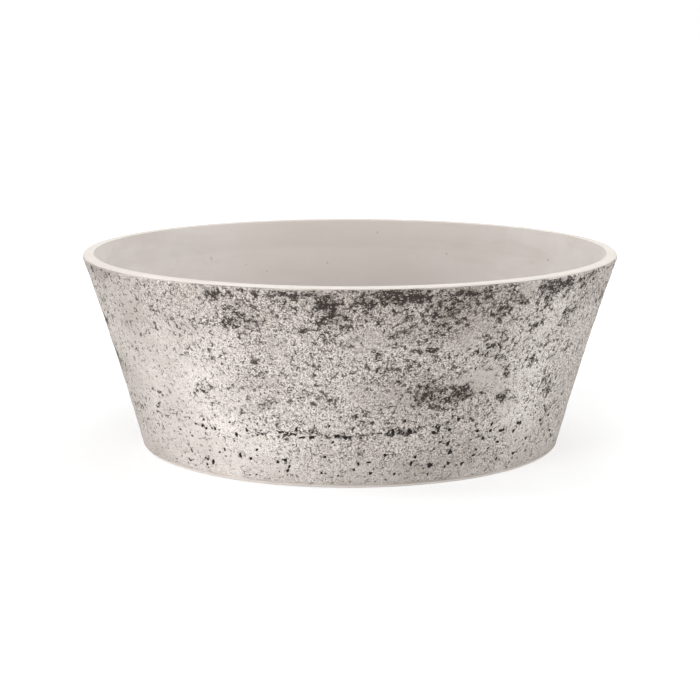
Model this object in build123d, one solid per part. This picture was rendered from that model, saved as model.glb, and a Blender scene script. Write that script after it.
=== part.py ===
from build123d import *
import os
from math import asin, degrees

# A low round planter in moulded resin: a flared bowl with a rough outer skin, a perforated
# drainage shelf that stands on the bowl's floor and lifts out, and a soft plug that is pulled
# down out of the drain hole. All sizes are in millimetres, heights are above the ground, and
# the origin is the middle of the foot ring.

# Bowl, outside
HEIGHT = 120.0
RIM_RADIUS = 165.8
BASE_RADIUS = 130.0
WALL_BOW = 1.25
BASE_ROUND = 1.5
RIM_OUTER_ROUND = 1.8

# Bowl, wall and the thicker collar below its rim
RIM_WIDTH = 7.5
RIM_INNER_ROUND = 0.8
COLLAR_DEPTH = 19.0
COLLAR_ROUND = 30.0
WALL_SPAN = 5.75

# Bowl, floor and foot ring
FLOOR_TOP = 10.0
FLOOR_THICKNESS = 5.0
FLOOR_ROUND = 8.0
FOOT_RING_WIDTH = 9.0
FOOT_RING_ROUND = 1.0
FOOT_RING_CORNER = 3.0
UNDERSIDE_RIB_COUNT = 8
UNDERSIDE_RIB_THICKNESS = 3.0
UNDERSIDE_RIB_CLEARANCE = 2.0
RIB_ROOT = 1.0
RIB_DRAFT = 2.0

# Bowl, raised dome round the drain hole
DOME_HEIGHT = 16.0
DOME_PLATE = 4.5
DOME_FOOT_RADIUS = 29.0
DOME_TOP_RADIUS = 28.0
DOME_FOOT_ROUND = 4.0
DOME_TOP_ROUND = 3.0
RECESS_FOOT_RADIUS = 25.0
RECESS_TOP_RADIUS = 24.0
RECESS_ROUND = 2.0
HOLE_TOP_RADIUS = 9.0
HOLE_FOOT_RADIUS = 9.4

# Drain plug
PLUG_CLEARANCE = 0.05
PLUG_RISE = 0.6
PLUG_TIP_RADIUS = 8.9
PLUG_TIP_ROUND = 0.8
PLUG_BORE_RADIUS = 6.0
PLUG_BORE_FLOOR = 2.0
PLUG_FLANGE_RADIUS = 13.0
PLUG_FLANGE_THICKNESS = 2.5
PLUG_FLANGE_ROUND = 1.0
TAB_WIDTH = 16.0
TAB_THICKNESS = 3.5
TAB_LENGTH = 11.0
TAB_CORNER = 4.0
TAB_BEAD_RADIUS = 2.6
TAB_GRIP_COUNT = 2
TAB_GRIP_RADIUS = 0.9
TAB_GRIP_PITCH = 3.0

# Drainage shelf
SHELF_UNDERSIDE = 31.0
SHELF_THICKNESS = 3.0
SHELF_GAP = 1.2
SHELF_EDGE_ROUND = 1.5
SHELF_CORNER_ROUND = 2.0
SHELF_LIP_HEIGHT = 4.0
SHELF_LIP_WIDTH = 2.5
SHELF_LIP_ROUND = 0.8

# Drainage shelf, wicking cups that stand on the floor
CUP_COUNT = 4
CUP_START_ANGLE = 45.0
CUP_RING_RADIUS = 85.0
CUP_TOP_RADIUS = 16.0
CUP_FOOT_RADIUS = 11.0
CUP_WALL = 2.0
CUP_MOUTH_ROUND = 1.0
CUP_FOOT_HOLE_RADIUS = 2.5
CUP_SLOT_WIDTH = 3.0
CUP_SLOT_LENGTH = 11.0

# Drainage shelf, slots, finger holes and ribs
SLOT_WIDTH = 3.5
SLOT_LENGTH = 14.0
INNER_SLOT_RINGS = (42.0, 60.0)
INNER_SLOT_COUNT = 16
OUTER_SLOT_RINGS = (85.0, 114.0)
OUTER_SLOT_COUNT = 32
SLOT_MARGIN = 2.0
FINGER_HOLE_RADIUS = 108.0
FINGER_HOLE_ANGLES = (0.0, 180.0)
FINGER_HOLE_LENGTH = 24.0
FINGER_HOLE_WIDTH = 15.0
SHELF_RIB_THICKNESS = 2.0
SHELF_RIB_DEPTH = 4.0
SHELF_RING_RIBS = (51.0, 97.0)
SHELF_RADIAL_RIB_COUNT = 8
SHELF_RADIAL_RIB_ANGLE = 22.5
SHELF_RADIAL_RIB_END = 124.0

FLOOR_UNDERSIDE = FLOOR_TOP - FLOOR_THICKNESS
DOME_TOP = FLOOR_TOP + DOME_HEIGHT
RECESS_TOP = DOME_TOP - DOME_PLATE
FOOT_RING_INNER = BASE_RADIUS - FOOT_RING_WIDTH
COLLAR_FOOT = HEIGHT - COLLAR_DEPTH
SHELF_TOP = SHELF_UNDERSIDE + SHELF_THICKNESS
SHELF_LIP_TOP = SHELF_TOP + SHELF_LIP_HEIGHT
STANDING = (Align.CENTER, Align.CENTER, Align.MIN)
SAME_SIZE = 0.01


def wall_radius(height):
    """Radius of the outer wall, which leans outwards and is bowed in a little at mid-height."""
    rise = height / HEIGHT
    lean = (RIM_RADIUS - BASE_RADIUS) * rise
    return BASE_RADIUS + lean - 4 * WALL_BOW * rise * (1 - rise)


def cavity_radius(height):
    """Radius of the inner wall below the collar, parallel to the outer wall."""
    return wall_radius(height) - WALL_SPAN


def wall_arc(radius_at, low, high):
    """Arc in the XZ plane through a wall's radius at two heights and midway between them."""
    heights = (low, (low + high) / 2, high)
    return ThreePointArc(*[(radius_at(height), 0, height) for height in heights])


def outline(points):
    """Run of straight edges in the XZ plane through (radius, height) points."""
    return Polyline(*[(radius, 0, height) for radius, height in points])


def rounded(profile, corners):
    """Profile with its corners rounded, each given as (radius, height, rounding)."""
    for radius, height, rounding in corners:
        corner = profile.vertices().sort_by_distance((radius, 0, height))[0]
        profile = fillet(corner, rounding)
    return profile


def bowl_profile():
    """Half section of the bowl: wall, collar, floor, raised dome, recess and foot ring."""
    lip_radius = RIM_RADIUS - RIM_WIDTH
    collar_foot_radius = cavity_radius(COLLAR_FOOT)
    rim_and_collar = [(RIM_RADIUS, HEIGHT), (lip_radius, HEIGHT), (collar_foot_radius, COLLAR_FOOT)]
    floor_to_foot = [
        (cavity_radius(FLOOR_TOP), FLOOR_TOP),
        (DOME_FOOT_RADIUS, FLOOR_TOP),
        (DOME_TOP_RADIUS, DOME_TOP),
        (HOLE_TOP_RADIUS, DOME_TOP),
        (HOLE_FOOT_RADIUS, RECESS_TOP),
        (RECESS_TOP_RADIUS, RECESS_TOP),
        (RECESS_FOOT_RADIUS, UNDERSIDE_RIB_CLEARANCE),
        (DOME_FOOT_RADIUS, UNDERSIDE_RIB_CLEARANCE),
        (DOME_FOOT_RADIUS, FLOOR_UNDERSIDE),
        (FOOT_RING_INNER, FLOOR_UNDERSIDE),
        (FOOT_RING_INNER, 0),
        (BASE_RADIUS, 0),
    ]
    edges = [
        wall_arc(wall_radius, 0, HEIGHT),
        outline(rim_and_collar),
        wall_arc(cavity_radius, FLOOR_TOP, COLLAR_FOOT),
        outline(floor_to_foot),
    ]
    corners = [
        (BASE_RADIUS, 0, BASE_ROUND),
        (RIM_RADIUS, HEIGHT, RIM_OUTER_ROUND),
        (lip_radius, HEIGHT, RIM_INNER_ROUND),
        (collar_foot_radius, COLLAR_FOOT, COLLAR_ROUND),
        (cavity_radius(FLOOR_TOP), FLOOR_TOP, FLOOR_ROUND),
        (DOME_FOOT_RADIUS, FLOOR_TOP, DOME_FOOT_ROUND),
        (DOME_TOP_RADIUS, DOME_TOP, DOME_TOP_ROUND),
        (RECESS_TOP_RADIUS, RECESS_TOP, RECESS_ROUND),
        (FOOT_RING_INNER, FLOOR_UNDERSIDE, FOOT_RING_CORNER),
        (FOOT_RING_INNER, 0, FOOT_RING_ROUND),
    ]
    return rounded(make_face(edges), corners)


def underside_rib():
    """Drafted stiffening rib under the floor, from the hub to the foot ring, along X."""
    inner = (RECESS_FOOT_RADIUS + DOME_FOOT_RADIUS) / 2
    outer = FOOT_RING_INNER + FOOT_RING_WIDTH / 4
    depth = FLOOR_UNDERSIDE - UNDERSIDE_RIB_CLEARANCE + RIB_ROOT
    root = Pos((inner + outer) / 2, 0, FLOOR_UNDERSIDE + RIB_ROOT) * Rectangle(
        outer - inner, UNDERSIDE_RIB_THICKNESS
    )
    return extrude(root, amount=-depth, taper=RIB_DRAFT)


def make_bowl():
    """One moulding: the revolved bowl with radial ribs under its floor."""
    bowl = revolve(bowl_profile(), Axis.Z)
    rib = underside_rib()
    spokes = PolarLocations(0, UNDERSIDE_RIB_COUNT, start_angle=180 / UNDERSIDE_RIB_COUNT)
    return bowl + [spoke * rib for spoke in spokes]


def shelf_edge_radius(height):
    """Radius of the shelf's rim, which follows the bowl's wall with a clear gap."""
    return cavity_radius(height) - SHELF_GAP


def shelf_plate():
    """Round plate with an upturned lip that follows the slope of the bowl's wall."""
    profile = make_face(
        outline(
            [
                (0, SHELF_UNDERSIDE),
                (shelf_edge_radius(SHELF_UNDERSIDE), SHELF_UNDERSIDE),
                (shelf_edge_radius(SHELF_LIP_TOP), SHELF_LIP_TOP),
                (shelf_edge_radius(SHELF_LIP_TOP) - SHELF_LIP_WIDTH, SHELF_LIP_TOP),
                (shelf_edge_radius(SHELF_TOP) - SHELF_LIP_WIDTH, SHELF_TOP),
                (0, SHELF_TOP),
                (0, SHELF_UNDERSIDE),
            ]
        )
    )
    corners = [
        (shelf_edge_radius(SHELF_UNDERSIDE), SHELF_UNDERSIDE, SHELF_EDGE_ROUND),
        (shelf_edge_radius(SHELF_LIP_TOP), SHELF_LIP_TOP, SHELF_LIP_ROUND),
        (shelf_edge_radius(SHELF_LIP_TOP) - SHELF_LIP_WIDTH, SHELF_LIP_TOP, SHELF_LIP_ROUND),
        (shelf_edge_radius(SHELF_TOP) - SHELF_LIP_WIDTH, SHELF_TOP, SHELF_CORNER_ROUND),
    ]
    return revolve(rounded(profile, corners), Axis.Z)


def cup_radius(height):
    """Outer radius of a wicking cup, which tapers towards its foot."""
    rise = (height - FLOOR_TOP) / (SHELF_UNDERSIDE - FLOOR_TOP)
    return CUP_FOOT_RADIUS + (CUP_TOP_RADIUS - CUP_FOOT_RADIUS) * rise


def cup_body():
    """Solid tapered leg that stands on the bowl's floor and carries the plate."""
    height = SHELF_TOP - FLOOR_TOP
    leg = Cone(CUP_FOOT_RADIUS, cup_radius(SHELF_TOP), height, align=STANDING)
    return Pos(0, 0, FLOOR_TOP) * leg


def cup_hollow():
    """Hollow of a wicking cup with its foot hole and its side slots."""
    floor = FLOOR_TOP + CUP_WALL
    mouth = cup_radius(SHELF_TOP) - CUP_WALL
    middle = (floor + SHELF_UNDERSIDE - CUP_WALL) / 2
    hollow = Cone(cup_radius(floor) - CUP_WALL, mouth, SHELF_TOP - floor, align=STANDING)
    hollow = Pos(0, 0, floor) * hollow
    foot_hole = Pos(0, 0, FLOOR_TOP) * Cylinder(CUP_FOOT_HOLE_RADIUS, CUP_WALL, align=STANDING)
    side_slot = Plane.YZ * SlotOverall(CUP_SLOT_LENGTH, CUP_SLOT_WIDTH, rotation=90)
    side_slot = Pos(0, 0, middle) * extrude(side_slot, amount=CUP_TOP_RADIUS, both=True)
    return hollow + foot_hole + side_slot + Rot(0, 0, 90) * side_slot


def plate_cutter(shape):
    """Sketch cut right through the plate and any rib below it."""
    bottom = SHELF_UNDERSIDE - SHELF_RIB_DEPTH
    return extrude(Pos(0, 0, bottom) * shape, amount=SHELF_TOP - bottom)


def blocked_spans():
    """Places in the plate that slots keep clear of, as (ring radius, angle, reach)."""
    cup_angles = [CUP_START_ANGLE + 360 / CUP_COUNT * turn for turn in range(CUP_COUNT)]
    cups = [(CUP_RING_RADIUS, angle, cup_radius(SHELF_TOP)) for angle in cup_angles]
    holes = [(FINGER_HOLE_RADIUS, angle, FINGER_HOLE_LENGTH / 2) for angle in FINGER_HOLE_ANGLES]
    return cups + holes


def slot_is_clear(ring_radius, angle):
    """Whether a slot at this place stays clear of the cups and the finger holes."""
    for radius, blocked_angle, reach in blocked_spans():
        shares_ring = abs(ring_radius - radius) < (SLOT_LENGTH + FINGER_HOLE_WIDTH) / 2
        swing = abs((angle - blocked_angle + 180) % 360 - 180)
        if shares_ring and swing < degrees(asin((reach + SLOT_MARGIN + SLOT_WIDTH / 2) / radius)):
            return False
    return True


def drain_slots():
    """Radial drain slots in four rings, left out where a cup or a finger hole is."""
    slot = plate_cutter(SlotOverall(SLOT_LENGTH, SLOT_WIDTH))
    rings = [(radius, INNER_SLOT_COUNT) for radius in INNER_SLOT_RINGS]
    rings += [(radius, OUTER_SLOT_COUNT) for radius in OUTER_SLOT_RINGS]
    slots = []
    for ring_radius, count in rings:
        for turn in range(count):
            angle = 360 / count * (turn + 0.5)
            if slot_is_clear(ring_radius, angle):
                slots.append(Rot(0, 0, angle) * Pos(ring_radius, 0, 0) * slot)
    return slots


def finger_holes():
    """Rounded holes that two fingers lift the shelf by."""
    shape = RectangleRounded(FINGER_HOLE_WIDTH, FINGER_HOLE_LENGTH, FINGER_HOLE_WIDTH / 3)
    hole = plate_cutter(shape)
    return [Rot(0, 0, angle) * Pos(FINGER_HOLE_RADIUS, 0, 0) * hole for angle in FINGER_HOLE_ANGLES]


def shelf_ribs():
    """Ring ribs and radial ribs under the plate, between the slots."""
    bottom = SHELF_UNDERSIDE - SHELF_RIB_DEPTH
    depth = SHELF_RIB_DEPTH + RIB_ROOT
    half = SHELF_RIB_THICKNESS / 2
    ribs = []
    for radius in SHELF_RING_RIBS:
        band = Circle(radius + half) - Circle(radius - half)
        ribs.append(extrude(Pos(0, 0, bottom) * band, amount=depth))
    start = SHELF_RING_RIBS[0]
    strip = Rectangle(SHELF_RADIAL_RIB_END - start, SHELF_RIB_THICKNESS)
    radial = extrude(Pos((SHELF_RADIAL_RIB_END + start) / 2, 0, bottom) * strip, amount=depth)
    spokes = PolarLocations(0, SHELF_RADIAL_RIB_COUNT, start_angle=SHELF_RADIAL_RIB_ANGLE)
    return ribs + [spoke * radial for spoke in spokes]


def make_shelf():
    """One moulding: plate, lip, ribs and hollow cups, with drain slots and finger holes."""
    cup_places = list(PolarLocations(CUP_RING_RADIUS, CUP_COUNT, start_angle=CUP_START_ANGLE))
    leg = cup_body()
    hollow = cup_hollow()
    shelf = shelf_plate() + shelf_ribs() + [place * leg for place in cup_places]
    shelf -= [place * hollow for place in cup_places]
    shelf -= drain_slots() + finger_holes()
    mouth = cup_radius(SHELF_TOP) - CUP_WALL
    circles = shelf.edges().filter_by(GeomType.CIRCLE)
    mouths = circles.filter_by(lambda edge: abs(edge.radius - mouth) < SAME_SIZE)
    return fillet(mouths, CUP_MOUTH_ROUND)


def plug_profile():
    """Half section of the plug: tapered stem with a blind bore, and the flange below it."""
    flange_foot = RECESS_TOP - PLUG_FLANGE_THICKNESS
    bore_foot = flange_foot + PLUG_BORE_FLOOR
    tip = DOME_TOP + PLUG_RISE
    points = [
        (0, flange_foot),
        (PLUG_FLANGE_RADIUS, flange_foot),
        (PLUG_FLANGE_RADIUS, RECESS_TOP),
        (HOLE_FOOT_RADIUS - PLUG_CLEARANCE, RECESS_TOP),
        (PLUG_TIP_RADIUS, tip),
        (PLUG_BORE_RADIUS, tip),
        (PLUG_BORE_RADIUS, bore_foot),
        (0, bore_foot),
        (0, flange_foot),
    ]
    corners = [
        (PLUG_FLANGE_RADIUS, flange_foot, PLUG_FLANGE_ROUND),
        (PLUG_TIP_RADIUS, tip, PLUG_TIP_ROUND),
    ]
    return rounded(make_face(outline(points)), corners)


def pull_tab():
    """Flat tab under the flange, with a bead along its lower edge and grip bars on its faces."""
    top = RECESS_TOP - PLUG_FLANGE_THICKNESS + PLUG_FLANGE_ROUND
    bottom = top - PLUG_FLANGE_ROUND - TAB_LENGTH
    middle = (top + bottom) / 2
    face = Plane.YZ * Pos(0, middle) * Rectangle(TAB_WIDTH, top - bottom)
    low_corners = face.vertices().sort_by(Axis.Z)[:2]
    tab = extrude(fillet(low_corners, TAB_CORNER), amount=TAB_THICKNESS / 2, both=True)
    bar_length = TAB_WIDTH - 2 * TAB_CORNER
    bead = Pos(0, 0, bottom + TAB_BEAD_RADIUS) * Rot(90, 0, 0) * Cylinder(TAB_BEAD_RADIUS, bar_length)
    bar = Rot(90, 0, 0) * Cylinder(TAB_GRIP_RADIUS, bar_length)
    bars = []
    for step in range(TAB_GRIP_COUNT):
        height = bottom + 2 * TAB_BEAD_RADIUS + TAB_GRIP_PITCH * (step + 0.5)
        bars += [Pos(side * TAB_THICKNESS / 2, 0, height) * bar for side in (-1, 1)]
    return tab + bead + bars


def make_plug():
    """Soft bung: the tapered stem and flange with the tab that pulls it down."""
    return revolve(plug_profile(), Axis.Z) + pull_tab()


def write_node(name, shape):
    """Write one node's solid to its own file and print its volume."""
    solid = shape.solids()[0]
    solid.label = name
    export_step(solid, f"parts/{name}.step")
    print(f"{name}: {len(shape.solids())} solid, {solid.volume / 1000:.1f} cubic centimetres")


def main():
    os.makedirs("parts", exist_ok=True)
    write_node("bowl", make_bowl())
    write_node("drainage_shelf", make_shelf())
    write_node("drain_plug", make_plug())


main()
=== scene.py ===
import math

import bpy
import numpy as np
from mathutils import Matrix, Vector


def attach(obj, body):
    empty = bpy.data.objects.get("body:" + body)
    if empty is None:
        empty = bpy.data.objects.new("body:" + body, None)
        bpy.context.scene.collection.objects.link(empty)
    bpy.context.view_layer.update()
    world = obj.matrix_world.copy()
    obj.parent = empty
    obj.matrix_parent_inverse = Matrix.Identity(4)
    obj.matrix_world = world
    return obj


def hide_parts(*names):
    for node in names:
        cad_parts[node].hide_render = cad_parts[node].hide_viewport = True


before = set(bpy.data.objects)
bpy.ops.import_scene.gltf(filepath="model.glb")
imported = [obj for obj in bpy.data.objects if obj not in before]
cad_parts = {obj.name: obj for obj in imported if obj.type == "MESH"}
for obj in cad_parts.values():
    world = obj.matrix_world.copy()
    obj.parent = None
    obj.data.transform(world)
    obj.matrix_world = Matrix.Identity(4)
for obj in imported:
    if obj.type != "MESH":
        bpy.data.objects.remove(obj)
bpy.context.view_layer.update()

# Lengths below are in millimetres where a name ends in _MM, and in metres elsewhere.
MM = 0.001
TURN = 2 * math.pi


def srgb(red, green, blue):
    """Scene colour of a screen colour given as three numbers from 0 to 255."""
    screen = [value / 255 for value in (red, green, blue)]
    linear = [v / 12.92 if v <= 0.04045 else ((v + 0.055) / 1.055) ** 2.4 for v in screen]
    return (*linear, 1.0)


# The bowl's form, the same driving sizes as its solid
HEIGHT_MM = 120.0
RIM_RADIUS_MM = 165.8
BASE_RADIUS_MM = 130.0
WALL_BOW_MM = 1.25
WALL_SPAN_MM = 5.75
RIM_WIDTH_MM = 7.5
RIM_OUTER_ROUND_MM = 1.8
RIM_INNER_ROUND_MM = 0.8
BASE_ROUND_MM = 1.5
COLLAR_DEPTH_MM = 19.0
COLLAR_ROUND_MM = 30.0
FLOOR_TOP_MM = 10.0
FLOOR_UNDERSIDE_MM = 5.0
FLOOR_ROUND_MM = 8.0
FOOT_RING_INNER_MM = 121.0
FOOT_RING_ROUND_MM = 1.0
FOOT_RING_CORNER_MM = 3.0
DOME_TOP_MM = 26.0
DOME_FOOT_RADIUS_MM = 29.0
DOME_TOP_RADIUS_MM = 28.0
DOME_FOOT_ROUND_MM = 4.0
DOME_TOP_ROUND_MM = 3.0
HOLE_TOP_RADIUS_MM = 9.0
HOLE_FOOT_RADIUS_MM = 9.4
HOLE_EDGE_ROUND_MM = 0.4
RECESS_TOP_MM = 21.5
RECESS_TOP_RADIUS_MM = 24.0
RECESS_FOOT_RADIUS_MM = 25.0
RECESS_ROUND_MM = 2.0
HUB_FOOT_MM = 2.0
HUB_EDGE_ROUND_MM = 0.8

# The ribs under the floor; their roots sink into it
UNDERSIDE_RIB_COUNT = 8
UNDERSIDE_RIB_THICKNESS_MM = 3.0
UNDERSIDE_RIB_SINK_MM = 1.0
UNDERSIDE_RIB_DRAFT = 2.0
UNDERSIDE_RIB_ROUND_MM = 0.5
UNDERSIDE_RIB_INNER_MM = 27.0
UNDERSIDE_RIB_OUTER_MM = 123.25

# The grid of the rough outer skin
SKIN_COLUMNS = 1368
SKIN_ROWS = 178
SKIN_TOP_MM = 119.1
SKIN_FOOT_MM = 1.4
SKIN_REACH_MM = 165.02
BODY_COLUMNS = 342
SKIN_STRIPS = 3
STRIP_MARGIN = 0.004

# How far the skin's relief rises and sinks
SWELL_MM = 0.26
GRAIN_MM = 0.13
PLATE_RISE_MM = 0.10
MARK_DEPTH_MM = 0.22
PIT_DEPTH_MM = 0.7

# How much the placed stains thicken the marks, and the faintest the grain gets
STAIN_GAIN = 0.75
GRIT_LEAST = 0.15

# The skin's colours: its base, the painted highlight on raised grains and the painted shade in the
# dips between them, each in its palest and greyest state, and its marks and pits
CHALK_PALE, CHALK_GREY = srgb(240, 233, 227), srgb(168, 159, 152)
GRAIN_HIGHLIGHT_PALE, GRAIN_HIGHLIGHT_GREY = srgb(255, 252, 248), srgb(222, 213, 206)
DIP_SHADE_PALE, DIP_SHADE_GREY = srgb(174, 165, 158), srgb(102, 95, 90)
STAIN_GREY = srgb(140, 131, 124)
MARK_GREY, MARK_DARK = srgb(104, 95, 88), srgb(58, 50, 46)
PIT_BLACK = srgb(34, 30, 27)

# Sizes of the skin's fine detail
FINE_GRAIN = 0.0010
SPECK_SIZE = 0.0015
BREAK_SIZE = 0.0028
COARSE_GRAIN = 0.0034
SMALL_FLAKE, SMALL_FLAKE_STRETCH = 0.0019, (1, 1, 1.25)
LARGE_FLAKE, LARGE_FLAKE_STRETCH = 0.0042, (1, 1, 1.7)

# The smooth cast resin: its clouds and streaks, painted shade over the back, a paler rim and small
# dots
CAST_GREY, CAST_PALE = srgb(217, 209, 203), srgb(225, 218, 213)
CAST_STREAK, CAST_BACK_SHADE = srgb(203, 193, 186), srgb(192, 182, 176)
CAST_DOT = srgb(130, 119, 111)
RIM_GREY, RIM_PALE = srgb(206, 199, 192), srgb(214, 208, 202)
RIM_PALE_FROM, RIM_PALE_TO = 0.1186, 0.1197
CAST_CLOUD, CAST_STREAK_SIZE, CAST_GRAIN, CAST_DOT_SIZE = 0.045, 0.03, 0.0012, 0.0042

# The shelf's plastic and the plug's rubber
SHELF_DARK, SHELF_GREY, SHELF_DUST = srgb(76, 75, 72), srgb(88, 86, 83), srgb(132, 127, 120)
SHELF_CLOUD, SHELF_GRAIN, SHELF_DUST_SIZE = 0.03, 0.0007, 0.011
RUBBER_BLACK, RUBBER_BLOOM = srgb(38, 37, 36), srgb(62, 60, 58)
RUBBER_CLOUD, RUBBER_GRAIN = 0.006, 0.0005

# The stage
FLOOR_HALF_WIDTH = 12.0
FLOOR_WHITE = srgb(243, 243, 243)
FLOOR_SHOWN_SHADE = 0.45
FLOOR_GLOW_NEAR = 0.60
FLOOR_GLOW_FAR = 1.0
FLOOR_GLOW_FROM = 0.25
FLOOR_GLOW_TO = 0.8
WORLD_LIGHT = 0.18
CAMERA_PLACE = (0.0, -1.1730, 0.2721)
CAMERA_PITCH = 10.455
CAMERA_LENS = 97.48
CAMERA_SENSOR = 36.0
LAMP_TARGET = (0, 0, 0.06)

# The lamps: name, place, size and power
LAMPS = (
    ("key", (-0.70, -0.84, 0.22), (0.45, 0.3), 4.5),
    ("low_key", (-0.33, -0.47, 0.02), (0.25, 0.12), 0.36),
    ("side", (0.97, -0.30, 0.55), (0.5, 0.5), 5.9),
    ("top_middle", (0.2, 0.1, 1.3), (0.8, 0.8), 4.4),
    ("top_left", (-0.79, -0.14, 1.1), (0.5, 0.5), 6.2),
    ("top_front", (-0.16, -0.89, 1.2), (0.6, 0.6), 3.0),
    ("top_back", (0.06, 0.70, 1.1), (0.6, 0.6), 3.2),
)

# Belts of marks that run round the wall: height, half height and strength
BELTS = (
    (115.5, 3.0, 0.42),
    (97.0, 5.0, 0.16),
    (57.0, 5.0, 0.22),
    (33.0, 1.8, 0.20),
)

# The places where marks lie thickest, as azimuth in degrees to the right of the camera,
# height, half width and half height in millimetres, and strength
STAINS = (
    (15, 112, 60, 8, 0.30),
    (22, 78, 42, 34, 0.24),
    (-30, 114, 14, 3, 0.35),
    (-27, 113, 3, 5, 0.6),
    (-24, 104, 5, 6, 0.4),
    (-20, 97, 7, 5, 0.25),
    (-50, 90, 3, 7, 0.35),
    (-50, 47, 13, 3, 0.45),
    (-37, 53, 6, 5, 0.4),
    (-20, 75, 5, 3, 0.35),
    (-4, 109, 7, 8, 0.75),
    (3, 111, 6, 5, 0.6),
    (11, 115, 16, 3, 0.6),
    (-9, 95, 9, 1.6, 0.65),
    (9, 92, 5, 3, 0.4),
    (5, 84, 4, 4, 0.35),
    (20, 104, 12, 6, 0.3),
    (17, 57, 11, 7, 0.65),
    (3, 44, 9, 6, 0.3),
    (-18, 49, 7, 5, 0.4),
    (12, 34, 8, 1.6, 0.9),
    (-4, 31.5, 12, 1.3, 0.7),
    (28, 53, 16, 3, 0.55),
    (37, 51, 4, 4, 0.9),
    (37, 63, 2.5, 5, 0.8),
    (44, 69, 4, 4, 0.9),
    (51, 54, 4, 4, 0.7),
    (44, 103, 5, 5, 0.6),
    (47, 113, 14, 4, 0.5),
    (52, 70, 5, 16, 0.35),
    (30, 79, 14, 6, 0.3),
    (31, 100, 5, 3, 0.6),
    (59, 76, 3, 6, 0.7),
    (48, 84, 4, 5, 0.6),
    (54, 48, 4, 5, 0.7),
    (26, 79, 4, 3, 0.5),
    (42, 90, 5, 4, 0.4),
    (52, 94, 6, 5, 0.4),
    (25, 57, 7, 5, 0.5),
    (20, 45, 5, 5, 0.5),
    (56, 28, 5, 6, 0.5),
)

# Smooth, pale plates between the marks, with their numbers in the same order
PLATES = (
    (30, 64, 15, 4.5, 1.0),
    (-47, 60, 42, 55, 0.45),
    (-42, 68, 12, 9, 0.6),
    (-14, 88, 7, 5, 0.6),
    (-45, 24, 16, 14, 0.8),
    (-20, 14, 60, 9, 0.4),
    (50, 22, 14, 12, 0.7),
    (43, 63, 4, 4, 0.7),
    (39, 77, 5, 6, 0.5),
    (40, 43, 6, 3, 0.6),
    (44, 96, 5, 3, 0.5),
)

# Broad paler parts of the wall, and greyer ones where the strength is below zero: painted light in
# the pale patches on the left front and near azimuth 45, painted shade in the grey ones from
# azimuth -14 to 24, with some of the wall's own tone
TONE_AND_PAINTED_LIGHT_PATCHES = (
    (-33, 28, 32, 38, 0.38),
    (-33, 70, 24, 20, 0.12),
    (46, 58, 22, 60, 0.50),
    (-54, 35, 22, 20, 0.10),
    (-12, 25, 25, 22, 0.20),
    (7, 114, 30, 12, -0.20),
    (24, 101, 26, 14, -0.14),
    (22, 20, 26, 16, -0.16),
    (16, 72, 40, 34, -0.14),
    (-14, 100, 30, 12, -0.08),
    (42, 113, 16, 8, 0.14),
)

# Where the sandy grain is fainter
CALM_PARTS = (
    (-66, 60, 75, 90, 0.68),
    (-33, 25, 40, 35, 0.30),
    (30, 64, 15, 5, 0.5),
)

# The pits that show most, as azimuth, height and radius
PITS = (
    (-40, 32, 0.9), (-34, 31, 1.0), (-44, 38, 0.8), (-28, 29, 1.3), (-21, 31, 0.8), (-23, 21, 0.9),
    (-25, 15, 1.1), (-45, 7, 0.8), (-39, 7, 0.9), (-16, 16, 1.3), (-15, 12, 1.0), (-7, 9, 0.9),
    (20, 12, 1.6), (15, 14, 1.2), (5, 9, 1.1), (11, 8, 0.9), (1, 11, 0.9), (32, 30, 1.0),
    (39, 28, 1.1), (34, 25, 1.3), (39, 21, 1.2), (46, 30, 1.1), (25, 19, 1.7), (25, 12, 1.3),
    (29, 11, 1.1), (32, 15, 1.2), (40, 10, 1.1), (10, 34, 1.5), (14, 34, 1.6), (-1, 31, 1.4),
    (20, 32, 1.4), (24, 33, 1.2), (32, 30, 1.1), (40, 28, 1.4), (63, 18, 1.3), (36, 29, 1.2),
    (26, 39, 1.3), (20, 12, 1.5), (46, 11, 1.1), (50, 19, 1.2), (44, 26, 1.3), (55, 28, 1.3),
    (-3, 32, 1.5), (-9, 31, 1.3), (-13, 32, 0.9), (-6, 19, 0.9), (22, 26, 1.0), (36, 33, 1.2),
)


def smoothstep(low, high, value):
    """Smooth rise from 0 at low to 1 at high."""
    step = np.clip((value - low) / (high - low), 0, 1)
    return step * step * (3 - 2 * step)


def wall_radius(height_mm):
    """Radius of the outer wall at a height, in millimetres."""
    rise = height_mm / HEIGHT_MM
    lean = (RIM_RADIUS_MM - BASE_RADIUS_MM) * rise
    return BASE_RADIUS_MM + lean - 4 * WALL_BOW_MM * rise * (1 - rise)


def wall_slope(height_mm):
    """How fast the outer wall's radius grows with height."""
    rise = height_mm / HEIGHT_MM
    lean = RIM_RADIUS_MM - BASE_RADIUS_MM
    return (lean - 4 * WALL_BOW_MM * (1 - 2 * rise)) / HEIGHT_MM


def rim_round():
    """Middle of the arc that rounds the rim's outer edge, as radius and height."""
    corner = math.pi / 2 - math.atan(wall_slope(HEIGHT_MM))
    middle = RIM_RADIUS_MM - RIM_OUTER_ROUND_MM / math.tan(corner / 2)
    return middle, HEIGHT_MM - RIM_OUTER_ROUND_MM


def skin_radius(height_mm):
    """Radius of the outer surface, which turns in over the rim's rounded edge."""
    middle, level = rim_round()
    rise = np.clip(height_mm - level, 0, RIM_OUTER_ROUND_MM)
    edge = middle + np.sqrt(RIM_OUTER_ROUND_MM**2 - rise**2)
    wall = wall_radius(height_mm)
    return np.where(height_mm > level, np.minimum(edge, wall), wall)


def skin_slope(height_mm):
    """How fast the outer surface's radius grows with height."""
    step = 0.01
    return (skin_radius(height_mm + step) - skin_radius(height_mm - step)) / (2 * step)


def cavity_radius(height_mm):
    """Radius of the inner wall below the collar, in millimetres."""
    return wall_radius(height_mm) - WALL_SPAN_MM


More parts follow.
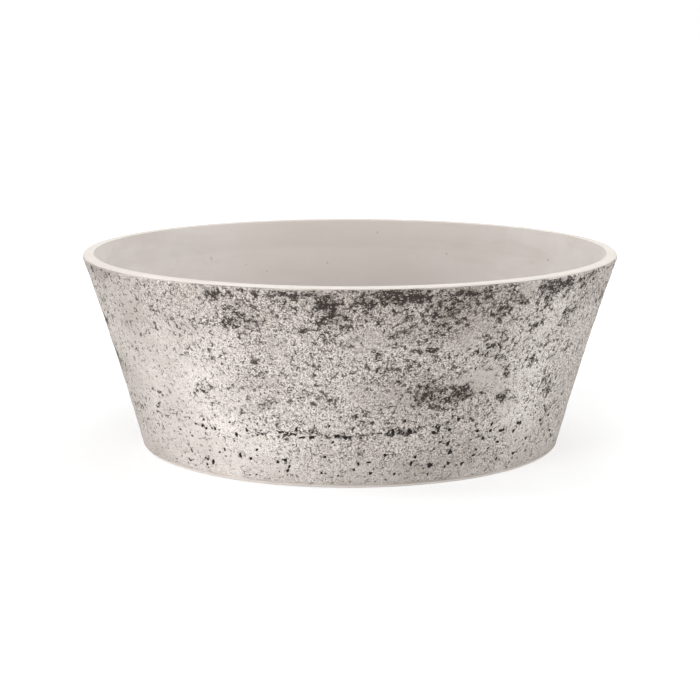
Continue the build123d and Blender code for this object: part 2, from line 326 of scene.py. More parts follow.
class Wall:
    """The unrolled outer wall: turns round the axis, heights, and the noise drawn on them."""

    LATTICE_ROWS = 512
    MEAN_GIRTH_MM = TURN * (RIM_RADIUS_MM + BASE_RADIUS_MM) / 2

    def __init__(self):
        columns = np.arange(SKIN_COLUMNS) / SKIN_COLUMNS
        rows = np.linspace(SKIN_FOOT_MM, SKIN_TOP_MM, SKIN_ROWS)
        self.turns, self.heights = np.meshgrid(columns, rows)

    def noise(self, seed, width, tall, warp=(0, 0)):
        """Gradient noise from -1 to 1 whose cells are width by tall millimetres."""
        cells = max(round(self.MEAN_GIRTH_MM / width), 1)
        angles = np.random.default_rng(seed).uniform(0, TURN, (self.LATTICE_ROWS, cells))
        x = self.turns * cells + warp[0] / width
        y = self.heights / tall + warp[1] / tall + self.LATTICE_ROWS / 2
        left, low = np.floor(x).astype(int), np.floor(y).astype(int)
        across, up = x - left, y - low
        total = np.zeros_like(x)
        for right_step in (0, 1):
            for up_step in (0, 1):
                angle = angles[(low + up_step) % self.LATTICE_ROWS, (left + right_step) % cells]
                slope = np.cos(angle) * (across - right_step) + np.sin(angle) * (up - up_step)
                blend_x = self.fade(across if right_step else 1 - across)
                blend_y = self.fade(up if up_step else 1 - up)
                total += slope * blend_x * blend_y
        return total * math.sqrt(2)

    @staticmethod
    def fade(share):
        """Smooth weight of a lattice corner from 0 to 1."""
        return share**3 * (share * (6 * share - 15) + 10)

    def layers(self, seed, width, tall, count, warp=(0, 0), gain=0.5):
        """Noise in several sizes, each half the one before and weaker by gain."""
        total = 0
        strength = 1.0
        for octave in range(count):
            shrink = 2**octave
            layer = self.noise(seed + octave, width / shrink, tall / shrink, warp)
            total = total + strength * layer
            strength *= gain
        return total

    def across_mm(self, azimuth):
        """Distance round the wall from an azimuth in degrees, 0 towards the camera."""
        turn = azimuth / 360 + 0.75
        apart = (self.turns - turn + 0.5) % 1 - 0.5
        return apart * TURN * wall_radius(self.heights)

    def spot(self, azimuth, height, half_width, half_height, warp=(0, 0)):
        """Soft oval mark that is 1 in its middle."""
        x = (self.across_mm(azimuth) + warp[0]) / half_width
        y = (self.heights - height + warp[1]) / half_height
        return np.exp(-(x * x + y * y))

    def spots(self, places, warp):
        """Sum of soft ovals, each given by its azimuth, height, half sizes and strength."""
        total = 0
        for *oval, strength in places:
            total = total + strength * self.spot(*oval, warp)
        return total


class Pits:
    """Pits in the unrolled wall: how deep each point is, from 0 to 1."""

    def __init__(self, wall, seed):
        self.random = np.random.default_rng(seed)
        self.field = np.zeros_like(wall.turns)
        self.row_pitch = (SKIN_TOP_MM - SKIN_FOOT_MM) / (SKIN_ROWS - 1)

    def add(self, turn, height, radius, strength):
        """One pit with a ragged oval outline."""
        column_pitch = TURN * wall_radius(height) / SKIN_COLUMNS
        row, column = (height - SKIN_FOOT_MM) / self.row_pitch, turn * SKIN_COLUMNS
        reach_rows = int(2.5 * radius / self.row_pitch) + 1
        reach_columns = int(2.5 * radius / column_pitch) + 1
        rows = np.arange(max(int(row) - reach_rows, 0), min(int(row) + reach_rows + 1, SKIN_ROWS))
        columns = np.arange(int(column) - reach_columns, int(column) + reach_columns + 1)
        stretch = self.random.uniform(0.75, 1.45)
        lobes, phase = self.random.integers(2, 5), self.random.uniform(0, TURN)
        if not len(rows):
            return
        x = (columns - column)[None, :] * column_pitch / (radius * stretch)
        y = (rows - row)[:, None] * self.row_pitch * stretch / radius
        ragged = 1 + 0.25 * np.sin(lobes * np.arctan2(y, x) + phase)
        shape = strength * (1 - smoothstep(0.45, 1.25, np.hypot(x, y) * ragged))
        place = np.ix_(rows, columns % SKIN_COLUMNS)
        self.field[place] = np.maximum(self.field[place], shape)

    def scatter(self, count, heights, radii, strength):
        """Pits at random places, at heights that a function draws."""
        for _ in range(count):
            turn, height = self.random.uniform(), heights(self.random)
            radius = self.random.uniform(*radii) * self.random.uniform(0.5, 1)
            self.add(turn, height, radius, strength * self.random.uniform(0.5, 1))


def make_pits(wall, plates):
    """Rows of pits, single small ones all over, and the large ones of the photograph."""
    rows = Pits(wall, 9)
    rows.scatter(340, lambda random: random.normal(32, 2.2), (0.6, 1.6), 1.0)
    presence = smoothstep(-0.1, 0.25, wall.layers(149, 30, 300, 2))
    pits = Pits(wall, 7)
    pits.scatter(620, lambda random: random.uniform(4, 42), (0.5, 1.1), 1.0)
    pits.scatter(300, lambda random: random.uniform(40, 112), (0.35, 0.75), 0.8)
    pits.scatter(90, lambda random: random.uniform(6, 42), (1.2, 1.9), 1.0)
    for azimuth, height, radius in PITS:
        pits.add(azimuth / 360 + 0.75, height, radius, 1.0)
    calm = 1 - 0.7 * plates * (wall.heights > 36)
    return np.maximum(rows.field * presence, pits.field) * calm


def rear_marks():
    """Places of marks and of paler or greyer parts on the side that the photograph hides."""
    random = np.random.default_rng(211)
    stains, shades = [], []
    for _ in range(34):
        height = random.choice([random.uniform(96, 116), random.uniform(25, 100)])
        half_width, half_height = random.uniform(3, 14), random.uniform(2, 6)
        strength = random.uniform(0.4, 0.85)
        stains.append((random.uniform(72, 288), height, half_width, half_height, strength))
    for _ in range(9):
        half_width, half_height = random.uniform(20, 38), random.uniform(14, 36)
        strength = random.uniform(-0.2, 0.4)
        azimuth, height = random.uniform(95, 265), random.uniform(10, 110)
        shades.append((azimuth, height, half_width, half_height, strength))
    return tuple(stains), tuple(shades)


def mark_density(wall, warp, stains):
    """How thickly marks lie on each part of the wall, and where its smooth plates are."""
    density = 0.14 + 0.20 * wall.layers(31, 26, 13, 3, warp, gain=0.6)
    density = density + 0.10 * smoothstep(62, 112, wall.heights)
    density = density - 0.16 * smoothstep(32, 12, wall.heights)
    for number, (height, half, strength) in enumerate(BELTS):
        lift = 2.5 * wall.layers(41 + 5 * number, 90, 400, 2)
        belt = np.exp(-(((wall.heights + lift - height) / half) ** 2))
        presence = smoothstep(-0.2, 0.5, wall.layers(61 + 5 * number, 30, 300, 3))
        density = density + strength * belt * presence
    density = density + STAIN_GAIN * wall.spots(stains, warp)
    plates = 0.7 * smoothstep(0.30, 0.62, wall.layers(83, 30, 16, 2, warp))
    for *oval, strength in PLATES:
        plates = np.maximum(plates, strength * wall.spot(*oval, warp))
    return density - 0.32 * plates, plates


def broad_tone_and_painted_light(wall, warp, shades):
    """How pale the wall is, from 0 to 1: greyer towards the rim, with broad patches of painted
    light and painted shade mixed with the wall's own tone.
    """
    tone_and_painted_light = 0.38 - 0.17 * smoothstep(75, 118, wall.heights)
    tone_and_painted_light = tone_and_painted_light + 0.16 * wall.layers(157, 45, 22, 3, warp, gain=0.6)
    return np.clip(tone_and_painted_light + wall.spots(shades, warp), 0, 1)


def grain_strength(wall, plates, warp):
    """How strong the sandy grain is, from 0 to 1."""
    grit = 0.90 + 0.35 * wall.layers(171, 24, 16, 2, warp) - 0.4 * plates
    grit = grit - 0.4 * smoothstep(22, 6, wall.heights)
    return np.clip(grit - wall.spots(CALM_PARTS, warp), GRIT_LEAST, 1)


def skin_fields(wall):
    """Relief in millimetres and the looks of each point of the skin, from 0 to 1."""
    rear_stains, rear_shades = rear_marks()
    warp = (2.5 * wall.layers(11, 22, 16, 3), 1.8 * wall.layers(17, 22, 12, 3))
    small_warp = (0.9 * wall.layers(23, 5, 4, 2), 0.9 * wall.layers(29, 5, 4, 2))
    density, plates = mark_density(wall, warp, STAINS + rear_stains)
    flecks = wall.layers(43, 4.8, 3.5, 3, small_warp, gain=0.8)
    marks = smoothstep(0.08, 1.05, density + 0.48 * flecks)
    stain = smoothstep(0.15, 0.95, density + 0.14 * wall.layers(53, 14, 9, 3, warp))
    pits = make_pits(wall, plates)

    edge = 0.5 * wall.layers(151, 9, 500, 3, gain=0.7)
    rough = smoothstep(SKIN_TOP_MM - 0.1, SKIN_TOP_MM - 1.0, wall.heights + edge)
    rough = rough * smoothstep(SKIN_TOP_MM, SKIN_TOP_MM - 0.4, wall.heights)
    rough = rough * smoothstep(SKIN_FOOT_MM, SKIN_FOOT_MM + 1.6, wall.heights)

    grit = grain_strength(wall, plates, warp)
    grain = wall.layers(131, 2.1, 1.9, 2, small_warp, gain=0.8)
    relief = SWELL_MM * wall.layers(163, 11, 8, 3, warp) * (1 - 0.5 * plates)
    relief = relief + GRAIN_MM * grain * grit * (0.6 + marks)
    relief = relief + PLATE_RISE_MM * plates - MARK_DEPTH_MM * marks - PIT_DEPTH_MM * pits
    return {
        "relief": relief * rough,
        "stain": stain * rough,
        "mark": marks * rough,
        "pit": pits * rough,
        # the wall's tone, with broad patches of painted light and painted shade
        "tone_and_painted_light": broad_tone_and_painted_light(wall, warp, TONE_AND_PAINTED_LIGHT_PATCHES + rear_shades),
        "grit": grit * rough,
        "skin": rough,
    }


def new_piece(name, points, faces, material, smooth=True):
    """Mesh object from points in metres and faces of corner numbers."""
    mesh = bpy.data.meshes.new(name)
    mesh.from_pydata(points, [], faces)
    mesh.update()
    mesh.polygons.foreach_set("use_smooth", np.full(len(mesh.polygons), smooth))
    mesh.materials.append(material)
    piece = bpy.data.objects.new(name, mesh)
    bpy.context.scene.collection.objects.link(piece)
    return piece


def ring_faces(rows, columns):
    """Four-cornered faces between rings of points, facing outwards as the rows go up."""
    low = np.arange(rows - 1)[:, None] * columns
    high = low + columns
    column = np.arange(columns)[None, :]
    beside = (column + 1) % columns
    return np.stack([low + column, low + beside, high + beside, high + column], -1).reshape(-1, 4)


def make_skin(material):
    """The rough outer wall, with its relief in the mesh and its marks as attributes."""
    wall = Wall()
    fields = skin_fields(wall)
    slope = skin_slope(wall.heights)
    outwards = 1 / np.hypot(1, slope)
    radius = skin_radius(wall.heights) + fields["relief"] * outwards
    radius = np.minimum(radius, SKIN_REACH_MM)
    height = wall.heights - fields["relief"] * slope * outwards
    angle = wall.turns * TURN
    points = np.stack([radius * np.cos(angle), radius * np.sin(angle), height], -1) * MM
    faces = ring_faces(SKIN_ROWS, SKIN_COLUMNS)
    skin = new_piece("bowl_skin", points.reshape(-1, 3), faces.tolist(), material)
    # Among these, the wall's tone also carries broad painted light and painted shade
    for name in ("stain", "mark", "pit", "tone_and_painted_light", "grit", "skin"):
        layer = skin.data.attributes.new(name, "FLOAT", "POINT")
        layer.data.foreach_set("value", fields[name].ravel().astype(np.float32))
    lay_out_strips(skin.data)
    return skin


def lay_out_strips(mesh):
    """Maps the wall as equal strips, one above the other, so that they fill a square."""
    strip_columns = SKIN_COLUMNS // SKIN_STRIPS
    column = np.tile(np.arange(SKIN_COLUMNS), SKIN_ROWS - 1)
    row = np.repeat(np.arange(SKIN_ROWS - 1), SKIN_COLUMNS)
    strip, place = column // strip_columns, column % strip_columns
    corner_x = (place[:, None] + np.array([0, 1, 1, 0])) / strip_columns
    corner_y = (row[:, None] + np.array([0, 0, 1, 1])) / (SKIN_ROWS - 1)
    u = STRIP_MARGIN + (1 - 2 * STRIP_MARGIN) * corner_x
    v = (strip[:, None] + STRIP_MARGIN + (1 - 2 * STRIP_MARGIN) * corner_y) / SKIN_STRIPS
    layer = mesh.uv_layers.new(name="OFBake")
    layer.uv.foreach_set("vector", np.stack([u, v], -1).ravel().astype(np.float32))


def rounded_corner(before, corner, after, radius, steps=7):
    """Points of the arc that rounds a corner between two straight edges."""
    corner = np.array(corner, float)
    back, on = np.array(before) - corner, np.array(after) - corner
    back, on = back / np.hypot(*back), on / np.hypot(*on)
    half = math.acos(np.clip(back @ on, -1, 1)) / 2
    middle = corner + (back + on) / np.hypot(*(back + on)) * radius / math.sin(half)
    start = corner + back * radius / math.tan(half) - middle
    end = corner + on * radius / math.tan(half) - middle
    first, last = math.atan2(start[1], start[0]), math.atan2(end[1], end[0])
    swing = (last - first + math.pi) % TURN - math.pi
    angles = first + swing * np.linspace(0, 1, steps)
    return [tuple(middle + radius * np.array([math.cos(a), math.sin(a)])) for a in angles]


def rounded_outline(points):
    """Outline of (radius, height, rounding) points with their corners rounded."""
    outline = []
    for number, (x, y, rounding) in enumerate(points):
        before, after = points[number - 1][:2], points[(number + 1) % len(points)][:2]
        outline += rounded_corner(before, (x, y), after, rounding) if rounding else [(x, y)]
    return outline


def inner_wall(low, high, steps=24):
    """Points down the inner wall between two heights, without its ends."""
    heights = np.linspace(high, low, steps + 2)[1:-1]
    return [(cavity_radius(height), height, 0) for height in heights]


def body_outline():
    """Half section of everything but the rough skin, from the rim's outer edge to the foot."""
    collar_foot = HEIGHT_MM - COLLAR_DEPTH_MM
    edge_heights = np.linspace(SKIN_TOP_MM, HEIGHT_MM, 6)
    points = [
        *[(float(skin_radius(height)), height, 0) for height in edge_heights],
        (RIM_RADIUS_MM - RIM_WIDTH_MM, HEIGHT_MM, RIM_INNER_ROUND_MM),
        (cavity_radius(collar_foot), collar_foot, COLLAR_ROUND_MM),
        *inner_wall(FLOOR_TOP_MM + FLOOR_ROUND_MM, collar_foot - COLLAR_ROUND_MM / 10),
        (cavity_radius(FLOOR_TOP_MM), FLOOR_TOP_MM, FLOOR_ROUND_MM),
        (DOME_FOOT_RADIUS_MM, FLOOR_TOP_MM, DOME_FOOT_ROUND_MM),
        (DOME_TOP_RADIUS_MM, DOME_TOP_MM, DOME_TOP_ROUND_MM),
        (HOLE_TOP_RADIUS_MM, DOME_TOP_MM, HOLE_EDGE_ROUND_MM),
        (HOLE_FOOT_RADIUS_MM, RECESS_TOP_MM, HOLE_EDGE_ROUND_MM),
        (RECESS_TOP_RADIUS_MM, RECESS_TOP_MM, RECESS_ROUND_MM),
        (RECESS_FOOT_RADIUS_MM, HUB_FOOT_MM, HUB_EDGE_ROUND_MM),
        (DOME_FOOT_RADIUS_MM, HUB_FOOT_MM, HUB_EDGE_ROUND_MM),
        (DOME_FOOT_RADIUS_MM, FLOOR_UNDERSIDE_MM, 0),
        (FOOT_RING_INNER_MM, FLOOR_UNDERSIDE_MM, FOOT_RING_CORNER_MM),
        (FOOT_RING_INNER_MM, 0, FOOT_RING_ROUND_MM),
        (BASE_RADIUS_MM, 0, BASE_ROUND_MM),
        (wall_radius(SKIN_FOOT_MM), SKIN_FOOT_MM, 0),
    ]
    return rounded_outline(points)


def underside_ribs(material):
    """Radial ribs under the floor, from the hub to the foot ring."""
    half, top = UNDERSIDE_RIB_THICKNESS_MM / 2, FLOOR_UNDERSIDE_MM + UNDERSIDE_RIB_SINK_MM
    narrow = half - (top - HUB_FOOT_MM) * math.tan(math.radians(UNDERSIDE_RIB_DRAFT))
    soft = UNDERSIDE_RIB_ROUND_MM
    section = [(-half, top), (-narrow, HUB_FOOT_MM), (narrow, HUB_FOOT_MM), (half, top)]
    low = rounded_corner(section[0], section[1], section[2], soft, 4)
    section[1:3] = low + rounded_corner(section[1], section[2], section[3], soft, 4)
    points, faces = [], []
    for number in range(UNDERSIDE_RIB_COUNT):
        turn = (number + 0.5) * TURN / UNDERSIDE_RIB_COUNT
        along = np.array([math.cos(turn), math.sin(turn)])
        first = len(points)
        for reach in (UNDERSIDE_RIB_INNER_MM, UNDERSIDE_RIB_OUTER_MM):
            for side, height in section:
                x, y = reach * along + side * np.array([-along[1], along[0]])
                points.append((x * MM, y * MM, height * MM))
        for corner in range(first, first + len(section) - 1):
            faces.append((corner, corner + 1, corner + 1 + len(section), corner + len(section)))
    return new_piece("bowl_ribs", points, faces, material)


def revolved(name, outline, columns, material):
    """Surface that an open outline sweeps round the axis."""
    section = np.array(outline)
    angle = np.arange(columns) / columns * TURN
    radius, height = section[:, :1], section[:, 1:] + 0 * angle
    points = np.stack([radius * np.cos(angle), radius * np.sin(angle), height], -1) * MM
    faces = ring_faces(len(section), columns)
    return new_piece(name, points.reshape(-1, 3), faces.tolist(), material)


class Shader:
    """A material's node tree with short calls for the nodes that the materials here use."""

    def __init__(self, name):
        self.material = bpy.data.materials.new(name)
        self.material.use_nodes = True
        self.nodes = self.material.node_tree.nodes
        self.links = self.material.node_tree.links
        self.surface = self.nodes["Principled BSDF"]

    def node(self, kind, **settings):
        """New node of a kind, with its settings."""
        made = self.nodes.new(kind)
        for key, value in settings.items():
            setattr(made, key, value)
        return made

    def feed(self, socket, value):
        """Links a socket, or sets it to a number or a colour."""
        if isinstance(value, bpy.types.NodeSocket):
            self.links.new(value, socket)
        else:
            socket.default_value = value

    def attribute(self, name):
        """A mesh attribute's value at each point."""
        return self.node("ShaderNodeAttribute", attribute_name=name).outputs["Fac"]

    def place(self, stretch=(1, 1, 1)):
        """Each point's own place on the object, in metres, scaled by stretch."""
        mapping = self.node("ShaderNodeMapping")
        mapping.inputs["Scale"].default_value = stretch
        self.links.new(self.node("ShaderNodeTexCoord").outputs["Object"], mapping.inputs["Vector"])
        return mapping.outputs["Vector"]

    def warped(self, size, reach, stretch=(1, 1, 1)):
        """Places moved about by up to reach metres, so that what is drawn there bends."""
        drift = self.node("ShaderNodeTexNoise")
        self.links.new(self.place(), drift.inputs["Vector"])
        drift.inputs["Scale"].default_value = 1 / size
        drift.inputs["Detail"].default_value = 2
        centred = self.node("ShaderNodeVectorMath", operation="SUBTRACT")
        self.links.new(drift.outputs["Color"], centred.inputs[0])
        centred.inputs[1].default_value = (0.5, 0.5, 0.5)
        moved = self.node("ShaderNodeVectorMath", operation="MULTIPLY_ADD")
        self.links.new(centred.outputs["Vector"], moved.inputs[0])
        moved.inputs[1].default_value = (2 * reach, 2 * reach, 2 * reach)
        self.links.new(self.place(stretch), moved.inputs[2])
        return moved.outputs["Vector"]

    def cracks(self, size, warp_size, reach, stretch=(1, 1, 1)):
        """Distance to the nearest crack round flakes of about size metres, in flake widths."""
        made = self.node("ShaderNodeTexVoronoi", feature="DISTANCE_TO_EDGE")
        self.links.new(self.warped(warp_size, reach, stretch), made.inputs["Vector"])
        made.inputs["Scale"].default_value = 1 / size
        return made.outputs["Distance"]

    def noise(self, size, detail=2.0, roughness=0.55, distortion=0.0, stretch=(1, 1, 1)):
        """Noise whose features are about size metres."""
        made = self.node("ShaderNodeTexNoise")
        self.links.new(self.place(stretch), made.inputs["Vector"])
        made.inputs["Scale"].default_value = 1 / size
        made.inputs["Detail"].default_value = detail
        made.inputs["Roughness"].default_value = roughness
        made.inputs["Distortion"].default_value = distortion
        return made.outputs["Fac"]

    def ramp(self, value, low, high, start=0.0, end=1.0):
        """Smooth change from start to end as value goes from low to high."""
        made = self.node("ShaderNodeMapRange", interpolation_type="SMOOTHSTEP")
        self.feed(made.inputs["Value"], value)
        made.inputs["From Min"].default_value = low
        made.inputs["From Max"].default_value = high
        made.inputs["To Min"].default_value = start
        made.inputs["To Max"].default_value = end
        return made.outputs["Result"]

    def maths(self, operation, first, second=0.5, third=0.5):
        """Result of a sum of up to three sockets or numbers."""
        made = self.node("ShaderNodeMath", operation=operation)
        for socket, value in zip(made.inputs, (first, second, third)):
            self.feed(socket, value)
        return made.outputs["Value"]

    def mix(self, share, first, second):
        """Colour between two colours."""
        made = self.node("ShaderNodeMix", data_type="RGBA")
        self.feed(made.inputs["Factor"], share)
        self.feed(made.inputs["A"], first)
        self.feed(made.inputs["B"], second)
        return made.outputs["Result"]

    def bump(self, height, distance, strength=1.0, below=None):
        """Normal of a fine relief distance metres high, over the one below."""
        made = self.node("ShaderNodeBump")
        self.feed(made.inputs["Height"], height)
        made.inputs["Distance"].default_value = distance
        made.inputs["Strength"].default_value = strength
        if below is not None:
            self.links.new(below, made.inputs["Normal"])
        return made.outputs["Normal"]


def sandy_colour(s, fine, coarse):
    """Chalky base with painted highlights on its grains, painted shade in the dips between them
    and a broad grey stain.
    """
    tone_and_painted_light, grit, stain = s.attribute("tone_and_painted_light"), s.attribute("grit"), s.attribute("stain")
    # Base colour from the wall's tone, which carries broad painted light and painted shade
    colour = s.mix(tone_and_painted_light, CHALK_GREY, CHALK_PALE)
    # Painted highlight on the sandy grain, as strong as the grain is
    grain_highlight = s.ramp(fine, 0.50, 0.36, 0.0, 0.8)
    colour = s.mix(s.maths("MULTIPLY", grain_highlight, grit), colour, s.mix(tone_and_painted_light, GRAIN_HIGHLIGHT_GREY, GRAIN_HIGHLIGHT_PALE))
    # Painted shade in the dips of the sandy grain
    dip_shade = s.ramp(fine, 0.50, 0.63, 0.0, 0.85)
    colour = s.mix(s.maths("MULTIPLY", dip_shade, grit), colour, s.mix(tone_and_painted_light, DIP_SHADE_GREY, DIP_SHADE_PALE))
    wash = s.ramp(s.maths("MULTIPLY_ADD", coarse, 0.5, stain), 0.35, 1.3, 0.0, 0.55)
    return s.mix(s.maths("MULTIPLY", wash, s.attribute("skin")), colour, STAIN_GREY)


def crack_lines(s, mark, breaks):
    """Broken dark lines between small and large flakes, from 0 to 1."""
    small = s.cracks(SMALL_FLAKE, 0.0026, 0.0008, SMALL_FLAKE_STRETCH)
    spread = s.maths("MULTIPLY_ADD", breaks, 0.55, -0.345)
    spread = s.maths("MULTIPLY_ADD", mark, 0.22, spread)
    thread = s.ramp(s.maths("SUBTRACT", spread, small), -0.04, 0.06)
    large = s.cracks(LARGE_FLAKE, 0.0035, 0.0014, LARGE_FLAKE_STRETCH)
    long_spread = s.maths("MULTIPLY_ADD", breaks, 0.40, -0.235)
    long_spread = s.maths("MULTIPLY_ADD", mark, 0.14, long_spread)
    long_thread = s.ramp(s.maths("SUBTRACT", long_spread, large), -0.03, 0.04)
    return s.maths("MULTIPLY", s.maths("MAXIMUM", thread, long_thread), s.attribute("skin"))


def dark_specks(s, mark, breaks):
    """Single dark specks in the sandy grain, from 0 to 1."""
    points = s.noise(SPECK_SIZE, detail=1, roughness=0.6)
    points = s.maths("MULTIPLY_ADD", breaks, 0.35, points)
    points = s.maths("MULTIPLY_ADD", mark, 0.08, points)
    return s.maths("MULTIPLY", s.ramp(points, 0.785, 0.86, 0.0, 0.95), s.attribute("grit"))


def skin_material():
    """Chalky resin skin with a sandy grain that has painted highlights and painted shade, broad
    painted light and shade, grey stain, fine dark cracks and pits.
    """
    s = Shader("weathered_skin")
    mark, pit, skin = s.attribute("mark"), s.attribute("pit"), s.attribute("skin")
    fine = s.noise(FINE_GRAIN, detail=1, roughness=0.6)
    coarse = s.noise(COARSE_GRAIN, detail=3, roughness=0.6)
    breaks = s.noise(BREAK_SIZE, detail=2, roughness=0.6)
    speck_colour = s.mix(s.ramp(coarse, 0.4, 0.6), MARK_GREY, MARK_DARK)
    colour = s.mix(dark_specks(s, mark, breaks), sandy_colour(s, fine, coarse), speck_colour)
    lines = crack_lines(s, mark, breaks)
    dark = s.mix(s.ramp(s.maths("ADD", mark, coarse), 0.75, 1.25), MARK_GREY, MARK_DARK)
    colour = s.mix(lines, colour, dark)
    hollow = s.ramp(s.maths("MULTIPLY_ADD", fine, 0.5, pit), 0.5, 0.85)
    s.feed(s.surface.inputs["Base Color"], s.mix(hollow, colour, PIT_BLACK))
    rough = s.ramp(s.attribute("stain"), 0.0, 1.0, 0.8, 0.95)
    s.feed(s.surface.inputs["Roughness"], rough)
    s.surface.inputs["Specular IOR Level"].default_value = 0.35
    height = s.maths("MULTIPLY_ADD", lines, -0.7, fine)
    normal = s.bump(s.maths("MULTIPLY", height, skin), 0.0011)
    normal = s.bump(s.maths("MULTIPLY", coarse, skin), 0.0004, 0.6, normal)
    s.feed(s.surface.inputs["Normal"], normal)
    return s.material


def cast_material():
    """Smooth cast resin of the rim, the inside and the underside."""
    s = Shader("smooth_cast")
    cloud = s.noise(CAST_CLOUD, detail=4, roughness=0.6)
    flow = {"roughness": 0.65, "distortion": 0.4, "stretch": (0.6, 0.6, 3.0)}
    streak = s.noise(CAST_STREAK_SIZE, detail=4, **flow)
    fine = s.noise(CAST_GRAIN, detail=2)
    dots = s.ramp(s.noise(CAST_DOT_SIZE, detail=1), 0.765, 0.80)
    level = s.node("ShaderNodeSeparateXYZ")
    s.links.new(s.place(), level.inputs["Vector"])
    # Painted shade: greyer towards the back of the body, most round the middle of the back
    aside = s.maths("MULTIPLY", s.maths("ABSOLUTE", level.outputs["X"]), 0.8)
    back = s.ramp(s.maths("SUBTRACT", level.outputs["Y"], aside), -0.03, 0.15)
    back = s.maths("MULTIPLY", back, s.ramp(cloud, 0.1, 0.5, 0.6, 1.0))
    rim = s.ramp(level.outputs["Z"], RIM_PALE_FROM, RIM_PALE_TO)
    # The rim keeps the painted shade at the back
    rim = s.maths("MULTIPLY", rim, s.maths("MULTIPLY_ADD", back, -0.7, 1.0))
    colour = s.mix(s.ramp(cloud, 0.35, 0.68), CAST_GREY, CAST_PALE)
    colour = s.mix(s.ramp(streak, 0.42, 0.7, 0.0, 0.35), colour, CAST_STREAK)
    # Mixes in the painted shade at the back
    colour = s.mix(s.maths("MULTIPLY", back, 0.75), colour, CAST_BACK_SHADE)
    colour = s.mix(s.maths("MULTIPLY", dots, 0.4), colour, CAST_DOT)
    colour = s.mix(rim, colour, s.mix(s.ramp(cloud, 0.3, 0.7), RIM_GREY, RIM_PALE))
    s.feed(s.surface.inputs["Base Color"], colour)
    s.feed(s.surface.inputs["Roughness"], s.ramp(cloud, 0.3, 0.7, 0.5, 0.64))
    s.surface.inputs["Specular IOR Level"].default_value = 0.4
    normal = s.bump(fine, 0.00006, 0.5)
    s.feed(s.surface.inputs["Normal"], s.bump(cloud, 0.0012, 0.35, normal))
    return s.material


def shelf_material():
    """Matte moulded plastic with a fine spark texture and a little dust."""
    s = Shader("shelf_plastic")
    cloud = s.noise(SHELF_CLOUD, detail=4)
    fine = s.noise(SHELF_GRAIN, detail=2)
    dust = s.ramp(s.noise(SHELF_DUST_SIZE, detail=5, roughness=0.7), 0.48, 0.75, 0.0, 0.28)
    colour = s.mix(s.ramp(cloud, 0.35, 0.65), SHELF_DARK, SHELF_GREY)
    colour = s.mix(dust, colour, SHELF_DUST)
    s.feed(s.surface.inputs["Base Color"], colour)
    s.feed(s.surface.inputs["Roughness"], s.ramp(cloud, 0.3, 0.7, 0.52, 0.66))
    s.feed(s.surface.inputs["Normal"], s.bump(fine, 0.00008, 0.8))
    return s.material


def rubber_material():
    """Soft black rubber with a grey bloom."""
    s = Shader("plug_rubber")
    cloud = s.noise(RUBBER_CLOUD, detail=4, roughness=0.65)
    fine = s.noise(RUBBER_GRAIN, detail=2)
    colour = s.mix(s.ramp(cloud, 0.4, 0.72), RUBBER_BLACK, RUBBER_BLOOM)
    s.feed(s.surface.inputs["Base Color"], colour)
    s.feed(s.surface.inputs["Roughness"], s.ramp(cloud, 0.3, 0.7, 0.6, 0.8))
    s.feed(s.surface.inputs["Normal"], s.bump(fine, 0.00006, 0.7))
    return s.material


def dress(node, material):
    """Gives a solid's own mesh a better material."""
    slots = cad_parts[node].data.materials
    slots.clear()
    slots.append(material)


def make_floor():
    """White floor that shows the object's shadow and is seen through from below."""
    s = Shader("studio_floor")
    rays = s.node("ShaderNodeLightPath")
    shown = s.maths("MAXIMUM", rays.outputs["Is Camera Ray"], rays.outputs["Is Glossy Ray"])
    shown = s.maths("MAXIMUM", shown, rays.outputs["Is Transmission Ray"])
    shade = (FLOOR_SHOWN_SHADE, FLOOR_SHOWN_SHADE, FLOOR_SHOWN_SHADE, 1.0)
    s.feed(s.surface.inputs["Base Color"], s.mix(shown, FLOOR_WHITE, shade))
    s.surface.inputs["Roughness"].default_value = 0.9
    s.surface.inputs["Specular IOR Level"].default_value = 0.0
    away = s.node("ShaderNodeVectorMath", operation="LENGTH")
    s.links.new(s.node("ShaderNodeTexCoord").outputs["Object"], away.inputs[0])
    reach = (FLOOR_GLOW_FROM, FLOOR_GLOW_TO, FLOOR_GLOW_NEAR, FLOOR_GLOW_FAR)
    glow = s.ramp(away.outputs["Value"], *reach)
    lamp = s.node("ShaderNodeEmission")
    s.feed(lamp.inputs["Strength"], s.maths("MULTIPLY", shown, glow))
    lit = s.node("ShaderNodeAddShader")
    s.links.new(s.surface.outputs["BSDF"], lit.inputs[0])
    s.links.new(lamp.outputs["Emission"], lit.inputs[1])
    either = s.node("ShaderNodeMixShader")
    s.links.new(s.node("ShaderNodeNewGeometry").outputs["Backfacing"], either.inputs["Fac"])
    s.links.new(lit.outputs["Shader"], either.inputs[1])
    s.links.new(s.node("ShaderNodeBsdfTransparent").outputs["BSDF"], either.inputs[2])
    s.links.new(either.outputs["Shader"], s.nodes["Material Output"].inputs["Surface"])
    half = FLOOR_HALF_WIDTH
    corners = [(-half, -half, 0), (half, -half, 0), (half, half, 0), (-half, half, 0)]
    floor = new_piece("studio_floor", corners, [(0, 1, 2, 3)], s.material, smooth=False)


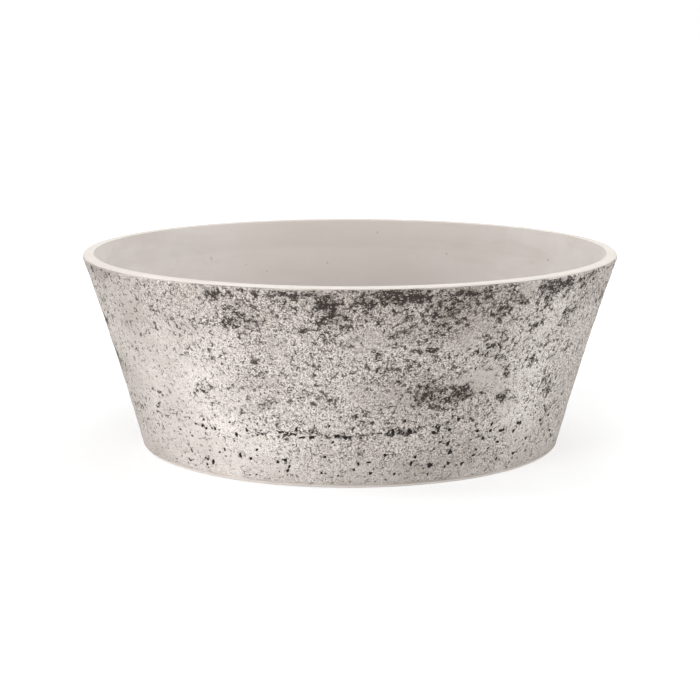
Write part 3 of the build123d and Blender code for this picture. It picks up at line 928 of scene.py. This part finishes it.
def make_world():
    """White background for what the camera sees, and a softer light for the rest."""
    world = bpy.data.worlds.new("studio_world")
    bpy.context.scene.world = world
    world.use_nodes = True
    nodes, links = world.node_tree.nodes, world.node_tree.links
    rays = nodes.new("ShaderNodeLightPath")
    seen = nodes.new("ShaderNodeMath")
    seen.operation = "MAXIMUM"
    links.new(rays.outputs["Is Camera Ray"], seen.inputs[0])
    links.new(rays.outputs["Is Transmission Ray"], seen.inputs[1])
    mirrored = nodes.new("ShaderNodeMath")
    mirrored.operation = "MAXIMUM"
    links.new(seen.outputs["Value"], mirrored.inputs[0])
    links.new(rays.outputs["Is Glossy Ray"], mirrored.inputs[1])
    strength = nodes.new("ShaderNodeMapRange")
    strength.inputs["To Min"].default_value = WORLD_LIGHT
    links.new(mirrored.outputs["Value"], strength.inputs["Value"])
    background = nodes["Background"]
    background.inputs["Color"].default_value = (1, 1, 1, 1)
    links.new(strength.outputs["Result"], background.inputs["Strength"])


def add_lamp(name, place, size, power):
    """Soft oblong lamp that points at the planter's middle and isn't itself seen."""
    light = bpy.data.lights.new(name, "AREA")
    light.shape = "RECTANGLE"
    light.size, light.size_y = size
    light.energy = power
    lamp = bpy.data.objects.new(name, light)
    lamp.location = place
    lamp.rotation_euler = (Vector(LAMP_TARGET) - Vector(place)).to_track_quat("-Z", "Y").to_euler()
    lamp.visible_camera = False
    bpy.context.scene.collection.objects.link(lamp)


def make_camera():
    """The photograph's view: level with a tilt down, seen through a long lens."""
    data = bpy.data.cameras.new("camera")
    data.lens = CAMERA_LENS
    data.sensor_width = CAMERA_SENSOR
    camera = bpy.data.objects.new("camera", data)
    camera.location = CAMERA_PLACE
    camera.rotation_euler = (math.radians(90 - CAMERA_PITCH), 0, 0)
    bpy.context.scene.collection.objects.link(camera)
    bpy.context.scene.camera = camera


def make_bowl():
    """The bowl's rough skin and its smooth body in place of the plain solid."""
    cast = cast_material()
    skin = make_skin(skin_material())
    body = revolved("bowl_body", body_outline(), BODY_COLUMNS, cast)
    for piece in (skin, body, underside_ribs(cast)):
        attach(piece, "bowl")
        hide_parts("bowl")


make_camera()
make_world()
make_floor()
for lamp in LAMPS:
    add_lamp(*lamp)
make_bowl()
dress("drainage_shelf", shelf_material())
dress("drain_plug", rubber_material())
bpy.context.scene.view_settings.view_transform = "Standard"
